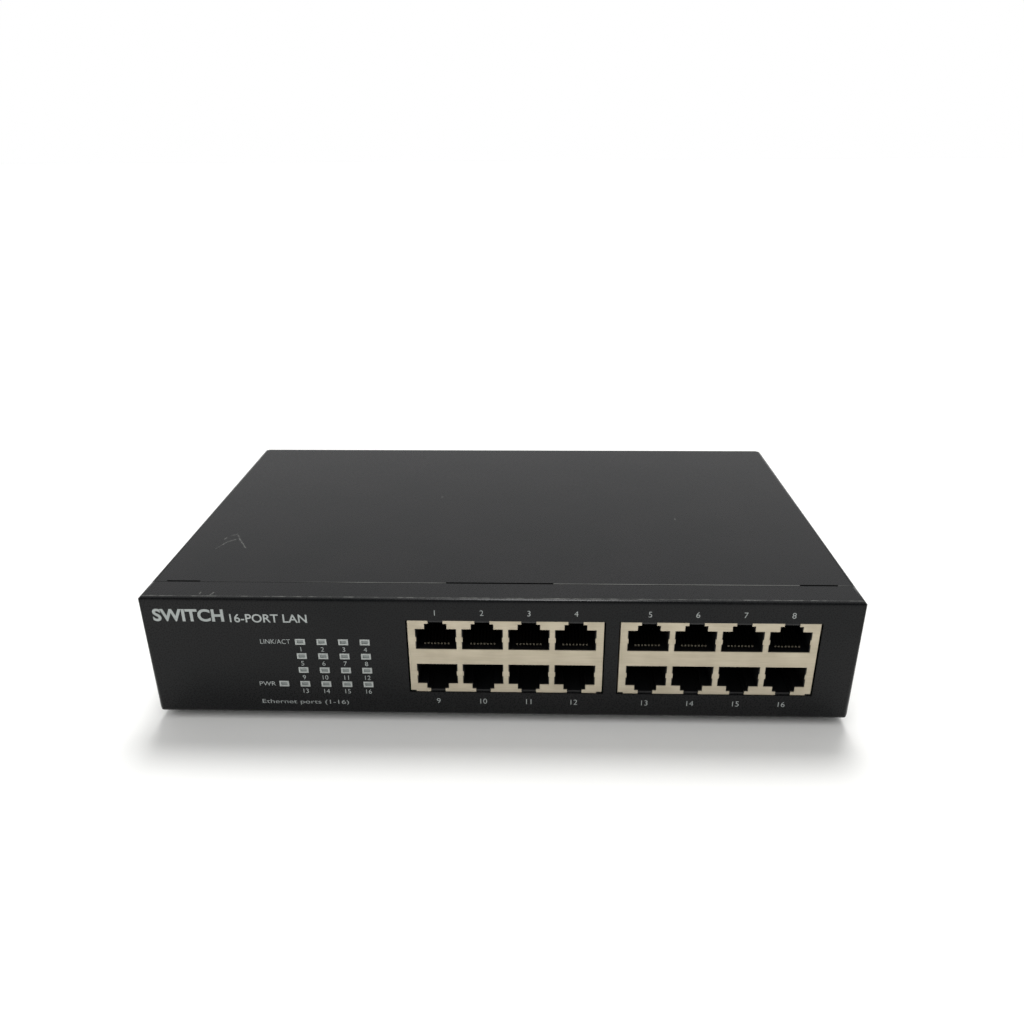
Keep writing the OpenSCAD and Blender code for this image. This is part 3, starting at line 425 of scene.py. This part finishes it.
# How far each kind of edge is broken, in millimetres; the rest are left as cut
EDGES = {
    "powder_coat": 0.06, "shield_metal": 0.05, "black_nylon": 0.12, "chip_epoxy": 0.12,
    "sink_aluminium": 0.15, "ferrite": 0.3, "ivory_nylon": 0.2, "yellow_box": 0.3,
    "light_pipe": 0.06, "green_board": 0.08, "tan_board": 0.08, "plated_steel": 0.06,
}

for entry in frame["record"]["subparts"]:
    slot = entry["material_slot"]
    part = NODES[entry["node"]]
    part.data.materials.clear()
    part.data.materials.append(FINISHES[slot])
    finish_node(entry["node"], EDGES.get(slot, 0.0))


# ---- Making new pieces ----

def clear_selection():
    """Deselects everything, so that an operator acts on the next piece alone."""
    bpy.ops.object.select_all(action="DESELECT")


def settle():
    """Puts the active piece's place into its mesh."""
    bpy.ops.object.transform_apply(location=True, rotation=True, scale=True)


def finish_piece(piece, name, material, body="chassis"):
    """Names a new piece, gives it its finish and puts it on its body."""
    piece.name = name
    piece.data.name = name
    piece.data.materials.clear()
    piece.data.materials.append(material)
    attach(piece, body)
    return piece


def joined(parts):
    """Makes one mesh of the parts."""
    clear_selection()
    for part in parts:
        part.select_set(True)
    bpy.context.view_layer.objects.active = parts[0]
    if len(parts) > 1:
        bpy.ops.object.join()
    return parts[0]


def block(low, high, edge_mm=0.0):
    """Block between two corners in case millimetres, with its edges broken."""
    low, high = spot(*low), spot(*high)
    clear_selection()
    bpy.ops.mesh.primitive_cube_add(size=1, location=(low + high) / 2)
    piece = bpy.context.object
    piece.scale = high - low
    settle()
    if edge_mm:
        broken = piece.modifiers.new("broken_edges", "BEVEL")
        broken.width = edge_mm * MM
        broken.segments = 2
        bpy.ops.object.modifier_apply(modifier=broken.name)
    return piece


# ---- Printing on the front ----

# Thickness of a printed film
INK_MM = 0.02


def words(text, x, height, tall, wide=0.0, weight=0.0):
    """Words on the front, centred on x and height and tall high.

    wide sets their width; weight thickens their strokes, or thins them where it is below 0.
    """
    clear_selection()
    bpy.ops.object.text_add(location=(0, 0, 0))
    letters = bpy.context.object
    letters.data.body = text
    letters.data.align_x = "CENTER"
    letters.data.offset = weight
    letters.data.extrude = 0.5
    letters.data.resolution_u = 5
    bpy.ops.object.convert(target="MESH")
    corners = [Vector(corner) for corner in letters.bound_box]
    low = Vector([min(c[i] for c in corners) for i in range(3)])
    high = Vector([max(c[i] for c in corners) for i in range(3)])
    bpy.ops.object.mode_set(mode="EDIT")
    bpy.ops.mesh.select_all(action="SELECT")
    bpy.ops.transform.translate(value=(low + high) / -2)
    bpy.ops.mesh.remove_doubles(threshold=0.0005)
    bpy.ops.object.mode_set(mode="OBJECT")
    scale_z = tall * MM / (high.y - low.y)
    scale_x = wide * MM / (high.x - low.x) if wide else scale_z
    letters.scale = (scale_x, scale_z, INK_MM * MM)
    letters.rotation_euler = (radians(90), 0, 0)
    letters.location = spot(x, 0, height)
    settle()
    return letters


def printed(name, group):
    """Joins words into one printed piece."""
    finish_piece(joined(group), name, PANEL_INK)


# Middles of the jacks' and the indicator windows' columns, and heights of the numerals beside them
JACK_PITCH = 13.97
JACK_COLUMNS = [centre + JACK_PITCH * (k - 1.5) for centre in (2.0, 65.6) for k in range(4)]
JACK_NUMERALS = (37.0, 5.45)
WINDOW_X = [-60.1 + 6.54 * k for k in range(4)]
WINDOW_NUMERALS = [23.85 - 5.08 * row for row in range(4)]
printed("panel_title", [words("SWITCH", -92.8, 35.45, 4.3, 21.4, 0.03)])
printed("panel_subtitle", [words("16-PORT LAN", -68.8, 34.6, 2.9, 23.2, 0.012)])
printed("port_numerals", [words(str(row * 8 + k + 1), x, height, 1.85, weight=-0.012)
                          for row, height in enumerate(JACK_NUMERALS) for k, x in enumerate(JACK_COLUMNS)])
printed("indicator_numerals", [words(str(row * 4 + k + 1), x, height, 1.55, weight=-0.01)
                               for row, height in enumerate(WINDOW_NUMERALS)
                               for k, x in enumerate(WINDOW_X)])
printed("indicator_labels", [words("LINK/ACT", -67.65, 26.5, 1.6, 9.1, -0.01),
                             words("PWR", -71.8, 11.2, 1.5, 5.0, -0.01),
                             words("Ethernet ports (1-16)", -60.7, 4.35, 1.95, 27.1, -0.012)])


# ---- Printing on the boards and the label ----

def outline(x, depth, wide, deep, height, line_mm=0.18):
    """Printed rectangle, as a thin closed ring."""
    clear_selection()
    bpy.ops.mesh.primitive_plane_add(size=1, location=spot(x, depth, height))
    ring = bpy.context.object
    ring.scale = (wide * MM, deep * MM, 1)
    settle()
    bpy.ops.object.mode_set(mode="EDIT")
    bpy.ops.mesh.select_mode(type="FACE")
    bpy.ops.mesh.select_all(action="SELECT")
    bpy.ops.mesh.inset(thickness=line_mm * MM)
    bpy.ops.mesh.delete(type="FACE")
    bpy.ops.object.mode_set(mode="OBJECT")
    film = ring.modifiers.new("ink", "SOLIDIFY")
    film.thickness = INK_MM * MM
    film.offset = 1.0
    bpy.ops.object.modifier_apply(modifier=film.name)
    return ring


def rule(x, depth, wide, deep, height):
    """Printed bar."""
    half = Vector((wide / 2, deep / 2, INK_MM / 2))
    centre = Vector((x, depth, height))
    return block(centre - half, centre + half)


def case_place(point):
    """A point of the frame in case millimetres."""
    return (point - spot(0, 0, 0)) / MM


def around(node, gap_mm, line_mm=0.18):
    """Outline on the board round a part."""
    low, high = (case_place(corner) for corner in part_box(node))
    middle = (low + high) / 2
    return outline(middle.x, middle.y, high.x - low.x + 2 * gap_mm, high.y - low.y + 2 * gap_mm,
                   LEGEND_MM, line_mm)


# Legend ink on a board: white, flat, slightly uneven
LEGEND_INK = grained("white_legend_ink", "cfd2ca", "dfe1da", 0.6, 0.4, 0.01)
# Label ink: flat dark grey
LABEL_INK = grained("grey_label_ink", "5f6062", "6a6b6d", 0.55, 0.4, 0.005)
# Height of a printed film's middle on the main board
LEGEND_MM = BOARD_MM + INK_MM / 2


def board_legend():
    """Outlines of the main board's parts and of each jack's place, with a bar beside each jack's outline."""
    marks = [around(node, 0.8) for node in ("switch_heat_sink", "phy_heat_sink_left",
                                            "phy_heat_sink_right", "crystal", "buck_inductor")]
    marks.append(around("flash_chip", 1.3))
    for x in JACK_COLUMNS:
        marks.append(outline(x, 36.5, 12.6, 15.2, LEGEND_MM))
        marks.append(rule(x - 5.4, 45.1, 1.0, 0.3, LEGEND_MM))
    for x, depth, radius in CANS["board_capacitors"]:
        marks.append(outline(x, depth, 2 * radius + 1.4, 2 * radius + 1.2, LEGEND_MM))
    finish_piece(joined(marks), "board_legend", LEGEND_INK)


def label_rules():
    """Blank table on the underside label."""
    low, high = (case_place(corner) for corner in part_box("rating_label"))
    middle = (low + high) / 2
    wide, deep = high.x - low.x, high.y - low.y
    height = low.z
    marks = [outline(middle.x, middle.y, wide - 3, deep - 3, height, 0.3)]
    marks += [rule(middle.x, low.y + deep * k / 5, wide - 4, 0.25, height) for k in range(1, 5)]
    marks.append(rule(low.x + wide * 0.62, middle.y, 0.25, deep - 4, height))
    finish_piece(joined(marks), "label_table", LABEL_INK)


# ---- Leads ----

def round_wire(radius_mm, sides):
    """Curve that is drawn as a round wire with closed ends."""
    wire = bpy.data.curves.new("wire", "CURVE")
    wire.dimensions = "3D"
    wire.bevel_depth = radius_mm * MM
    wire.bevel_resolution = sides
    wire.use_fill_caps = True
    return wire


def meshed(wire, smooth_degrees):
    """Turns a wire's curve into a closed mesh."""
    tube = bpy.data.objects.new("wire", wire)
    bpy.context.scene.collection.objects.link(tube)
    clear_selection()
    bpy.context.view_layer.objects.active = tube
    tube.select_set(True)
    bpy.ops.object.convert(target="MESH")
    bpy.ops.object.mode_set(mode="EDIT")
    bpy.ops.mesh.select_all(action="SELECT")
    bpy.ops.mesh.remove_doubles(threshold=0.001 * MM)
    bpy.ops.mesh.normals_make_consistent(inside=False)
    bpy.ops.object.mode_set(mode="OBJECT")
    bpy.ops.object.shade_smooth_by_angle(angle=radians(smooth_degrees))
    return bpy.context.object


def lead(route, radius_mm):
    """Round lead on a smooth curve through the points, as (x, depth, height)."""
    wire = round_wire(radius_mm, 3)
    wire.resolution_u = 8
    spline = wire.splines.new("BEZIER")
    spline.bezier_points.add(len(route) - 1)
    for point, place in zip(spline.bezier_points, route):
        point.co = spot(*place)
        point.handle_left_type = point.handle_right_type = "AUTO"
    return meshed(wire, 40)


# Routes as in the part's source: the low-voltage one from its start, the others in case millimetres
DC_ROUTE = [(0, 0, 0), (0, 0.5, 4), (1, 5, 7), (3, 13, 8), (6, 20, 5), (7, 24, -3), (7, 24.5, -12)]
LIVE_ROUTE = [(61, 101.7, 15.5), (60, 97, 15), (53, 94, 14), (42, 96, 12), (31, 104, 11), (26, 108, 12),
              (20.3, 108.5, 12.5)]
NEUTRAL_ROUTE = [(75, 101.7, 15.5), (74, 95.5, 14), (66, 91, 12), (50, 89.8, 11), (37, 92.5, 10.5),
                 (27, 102, 11.5), (20.3, 104.5, 12.5)]
EARTH_ROUTE = [(68, 101.7, 19.5), (67.5, 98, 20.5), (64, 97, 21.5), (59.5, 99.5, 20), (56, 103, 14),
               (54.5, 106.5, 8), (54.5, 110.5, 4.5), (54, 113.2, 3.2), (52.2, 114, 2.7)]
# Outer radii of the leads
DC_LEAD_MM, MAINS_LEAD_MM = 0.75, 0.95


def dc_lead(k):
    """One of the four low-voltage leads between the boards."""
    start = (-92.4 + 2.6 * k, 76, 20.35)
    return lead([tuple(a + b for a, b in zip(start, step)) for step in DC_ROUTE], DC_LEAD_MM)


# Extruded PVC jackets: even colour, soft shine
BLACK_JACKET = grained("black_pvc_jacket", "131314", "1c1c1e", 0.35, 0.5, 0.006)
BLUE_JACKET = grained("blue_pvc_jacket", "1d4f86", "265c97", 0.35, 0.5, 0.006)
for name, which, material in (("dc_supply_leads", (0, 1), FINISHES["wire_jacket"]),
                              ("dc_return_leads", (2, 3), BLACK_JACKET)):
    piece = joined([dc_lead(k) for k in which])
    finish_piece(piece, name, material)
    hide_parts("dc_wires")
for name, route, material in (("live_lead", LIVE_ROUTE, FINISHES["mains_jacket"]),
                              ("neutral_lead", NEUTRAL_ROUTE, BLUE_JACKET)):
    piece = lead(route, MAINS_LEAD_MM)
    finish_piece(piece, name, material)
    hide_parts("mains_wires")
earth_lead = lead(EARTH_ROUTE, MAINS_LEAD_MM)
finish_piece(earth_lead, "earth_lead", FINISHES["earth_jacket"])
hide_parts("earth_wire")


# ---- Choke windings ----

# Middle of the choke's ring, half its section with the wire on it, and the wire's own radius
RING_MM = 6.0
HALF_SECTION_MM = 2.45
ENAMEL_WIRE_MM = 0.4
POINTS_PER_TURN = 12


def winding(first_degree, last_degree, turns):
    """Enamelled wire wound round the choke's ring between two angles, seen from its side."""
    low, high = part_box("line_choke")
    centre = (low + high) / 2
    half_axial = (high.x - low.x) / 2 + 0.45 * MM
    wire = round_wire(ENAMEL_WIRE_MM, 2)
    steps = turns * POINTS_PER_TURN
    spline = wire.splines.new("POLY")
    spline.points.add(steps)
    for k in range(steps + 1):
        along = radians(first_degree + (last_degree - first_degree) * k / steps)
        turn = 2 * pi * k / POINTS_PER_TURN
        # The ring's section is square with round corners, so each turn is too
        squared = max(abs(cos(turn)), abs(sin(turn))) ** 0.8
        radial = (RING_MM + HALF_SECTION_MM * cos(turn) / squared) * MM
        axial = half_axial * sin(turn) / squared
        spline.points[k].co = (*(centre + Vector((axial, radial * cos(along), radial * sin(along)))), 1.0)
    return meshed(wire, 50)


# Enamelled copper: orange-brown, glossy
ENAMEL = grained("enamelled_copper_wire", "7d3517", "95451f", 0.22, 0.8, 0.004, 0.9)
finish_piece(joined([winding(-42, 55, 9), winding(125, 222, 9)]), "choke_windings", ENAMEL)


# ---- Small parts on the boards ----

def copied(piece, shift_mm):
    """Copy with its own mesh, moved by millimetres."""
    clear_selection()
    piece.select_set(True)
    bpy.context.view_layer.objects.active = piece
    bpy.ops.object.duplicate(linked=False)
    bpy.ops.transform.translate(value=Vector(shift_mm) * MM)
    settle()
    return bpy.context.object


# Rows of chip resistors and capacitors: first place, step and how many, in millimetres on the main board
CHIP_ROWS = [
    ((-21, 27.6), (3.6, 0), 31), ((-20.5, 44.2), (4.1, 0), 28), ((-71, 75.4), (3.3, 0), 12),
    ((-12, 73.4), (3.1, 0), 9), ((52, 73.4), (3.1, 0), 9), ((-29.4, 36), (0, 3.3), 8),
    ((20, 50), (4.4, 0), 7), ((20, 54.5), (4.4, 0), 7), ((20, 59), (4.4, 0), 7),
    ((83, 52), (3.4, 0), 5), ((83, 56), (3.4, 0), 5), ((-76, 68.5), (0, -3.4), 3),
    ((-70, 30.6), (3.4, 0), 11), ((-97.5, 56), (0, 3.2), 4),
]


def chip_parts():
    """Every chip resistor and capacitor: one body and its pair of tinned ends, copied along the rows."""
    # A part is 2 mm long over its ends, 0.9 mm wide and 0.54 mm high
    body = block((-0.55, -0.42, BOARD_MM), (0.55, 0.42, BOARD_MM + 0.5), 0.04)
    ends = joined([block((side * 0.75 - 0.25, -0.45, BOARD_MM - 0.01),
                         (side * 0.75 + 0.25, 0.45, BOARD_MM + 0.54), 0.06) for side in (-1, 1)])
    bodies, caps = [], []
    for (x, depth), (step_x, step_depth), count in CHIP_ROWS:
        for k in range(count):
            shift = (x + k * step_x, depth + k * step_depth, 0)
            bodies.append(copied(body, shift))
            caps.append(copied(ends, shift))
    bpy.data.objects.remove(body)
    bpy.data.objects.remove(ends)
    # Fired ceramic: tan to brown, matt
    ceramic = grained("fired_chip_ceramic", "4d3b2c", "9c7f5c", 0.5, 0.3, 0.004, patch_mm=4.0)
    finish_piece(joined(bodies), "chip_part_bodies", ceramic)
    finish_piece(joined(caps), "chip_part_ends", FINISHES["plated_steel"])


# Can top, in millimetres: the sleeve left round it, its thickness and how far it is sunk in the can
SLEEVE_LIP, CAP_THICK, CAP_SUNK = 0.7, 0.24, 0.06
# Its raised rim's width and height, and the half width and depth of its scored cross
RIM_WIDE, RIM_HIGH, SCORE_HALF, SCORE_DEEP = 0.35, 0.08, 0.14, 0.07


def vent_cap(x, depth, height, radius):
    """Bare aluminium top of a can capacitor, recessed inside its rim and scored with a cross."""
    centre = spot(x, depth, height)
    top = spot(x, depth, height + CAP_THICK - CAP_SUNK).z
    clear_selection()
    bpy.ops.mesh.primitive_cylinder_add(vertices=40, radius=(radius - SLEEVE_LIP) * MM, depth=CAP_THICK * MM,
                                        location=spot(x, depth, height + CAP_THICK / 2 - CAP_SUNK))
    cap = bpy.context.object
    settle()
    bpy.ops.object.mode_set(mode="EDIT")
    bpy.ops.mesh.select_all(action="DESELECT")
    bpy.ops.object.mode_set(mode="OBJECT")
    for face in cap.data.polygons:
        face.select = face.normal.z > 0.9
    bpy.ops.object.mode_set(mode="EDIT")
    bpy.ops.mesh.select_mode(type="FACE")
    bpy.ops.mesh.inset(thickness=RIM_WIDE * MM)
    bpy.ops.transform.translate(value=(0, 0, -RIM_HIGH * MM))
    for normal in ((1, 0, 0), (0, 1, 0)):
        for side in (-SCORE_HALF, SCORE_HALF):
            bpy.ops.mesh.select_all(action="SELECT")
            bpy.ops.mesh.bisect(plane_co=centre + Vector(normal) * side * MM, plane_no=normal)
    bpy.ops.mesh.select_all(action="DESELECT")
    bpy.ops.object.mode_set(mode="OBJECT")
    for face in cap.data.polygons:
        offset = face.center - centre
        # The slope inside the rim is centred at half its height and stays as it is
        recessed = face.normal.z > 0.9 and face.center.z < top - 0.6 * RIM_HIGH * MM
        face.select = recessed and min(abs(offset.x), abs(offset.y)) < SCORE_HALF * MM
    bpy.ops.object.mode_set(mode="EDIT")
    bpy.ops.mesh.extrude_region_move(TRANSFORM_OT_translate={"value": (0, 0, -SCORE_DEEP * MM)})
    bpy.ops.object.mode_set(mode="OBJECT")
    bpy.ops.object.shade_smooth_by_angle(angle=radians(30))
    return cap


# Spacing of a small-outline chip's leads
LEAD_PITCH = 1.27


def flash_leads():
    """Eight gull-wing leads of the small memory chip."""
    low, high = (case_place(corner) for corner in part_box("flash_chip"))
    middle = (low + high) / 2
    half = (high.x - low.x) / 2
    # Shoulder, toe and shin of a lead: reach from the body's side, and height over the board
    bends = ((-0.1, 0.35, 0.75, 0.9), (0.3, 1.0, 0.0, 0.15), (0.25, 0.4, 0.05, 0.85))
    leads = []
    for side in (-1, 1):
        for k in range(4):
            depth = middle.y + (k - 1.5) * LEAD_PITCH
            for near, far, foot, top in bends:
                a, b = sorted((middle.x + side * (half + near), middle.x + side * (half + far)))
                leads.append(block((a, depth - 0.2, BOARD_MM + foot), (b, depth + 0.2, BOARD_MM + top)))
    return leads


chip_parts()
finish_piece(joined(flash_leads()), "flash_leads", FINISHES["plated_steel"])
# Can capacitors of each node, as (x, depth, radius) in case millimetres
CANS = {
    "board_capacitors": [(-90, 30, 4), (-90, 40, 4), (-90, 50, 4)],
    "output_capacitors": [(-83.5, 112, 4), (-75, 118, 4), (-74.5, 107.5, 4)],
    "bulk_capacitor": [(-22, 109, 8)],
}
# Bare can top: drawn aluminium, satin
BARE_CAN = rolled_sheet("bare_can_aluminium", "a4a7a9", "b9bcbe", 0.34, (1.0, 0.1, 1.0))
vents = [vent_cap(x, depth, (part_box(node)[1].z - BASE) / MM, radius)
         for node, cans in CANS.items() for x, depth, radius in cans]
finish_piece(joined(vents), "capacitor_vents", BARE_CAN)
board_legend()
label_rules()


# ---- Studio ----

def studio_floor():
    """Broad pale sheet that the object stands on."""
    bpy.ops.mesh.primitive_plane_add(size=14, location=(0, 0, 0))
    floor = bpy.context.object
    floor.name = "studio_floor"
    paper = grained("pale_paper_floor", "f1f1ef", "f4f4f2", 0.75, 3, 0.0, patch_mm=800.0)
    floor.data.materials.append(paper)


def diffused_lamp(name, towards, strength, spread_angle, glossy=True):
    """Wide, far lamp in the direction given; with glossy off it shows in no reflection."""
    bpy.ops.object.light_add(type="SUN", location=towards)
    lamp = bpy.context.object
    lamp.name = name
    lamp.data.energy = strength
    lamp.data.angle = radians(spread_angle)
    lamp.visible_glossy = glossy
    lamp.rotation_euler = Vector(towards).to_track_quat("Z", "Y").to_euler()


def surroundings():
    """Pale backdrop behind the object, a dark room over it, and a dim band of daylight low in front.

    Each follows the Y part of a direction, which is 1 straight back and -1 straight to the front.
    """
    world = bpy.data.worlds.new("studio_surroundings")
    bpy.context.scene.world = world
    world.use_nodes = True
    tree = world.node_tree
    background = tree.nodes["Background"]
    place = add(tree, "TexCoord")
    axes = add(tree, "SeparateXYZ", links={"Vector": (place, "Generated")})
    rear = add(tree, "MapRange",
               {"interpolation_type": "SMOOTHSTEP", "From Min": 0.15, "From Max": 0.62,
                "To Min": 0.02, "To Max": 0.7}, {"Value": (axes, "Y")})
    low_front = add(tree, "MapRange",
                    {"interpolation_type": "SMOOTHSTEP", "From Min": -0.97, "From Max": -0.84,
                     "To Min": 0.4, "To Max": 0.0}, {"Value": (axes, "Y")})
    both = add(tree, "Math", {"operation": "ADD"}, {0: (rear, "Result"), 1: (low_front, "Result")})
    path = add(tree, "LightPath")
    seen = add(tree, "Mix", {"data_type": "FLOAT", 3: 1.0}, {0: (path, "Is Camera Ray"), 2: (both, "Value")})
    tree.links.new(seen.outputs["Result"], background.inputs["Strength"])
    background.inputs["Color"].default_value = linear("ffffff")


def camera():
    """Standing in front, a little above the case and looking down on it."""
    view = bpy.data.cameras.new("front_view")
    view.sensor_width = 36.0
    view.lens = 29.45
    view.clip_start = 0.01
    holder = bpy.data.objects.new("front_view", view)
    bpy.context.scene.collection.objects.link(holder)
    holder.location = spot(10.6, -213.3, 164.6)
    holder.rotation_euler = [radians(a) for a in (66.03, 0.37, 1.55)]
    bpy.context.scene.camera = holder


bpy.context.scene.view_settings.view_transform = "Standard"
studio_floor()
surroundings()
diffused_lamp("overhead_lamp", (0.05, 0.48, 1.0), 2.3, 24)
diffused_lamp("front_fill", (-0.15, -0.5, 0.9), 1.75, 80, glossy=False)
camera()
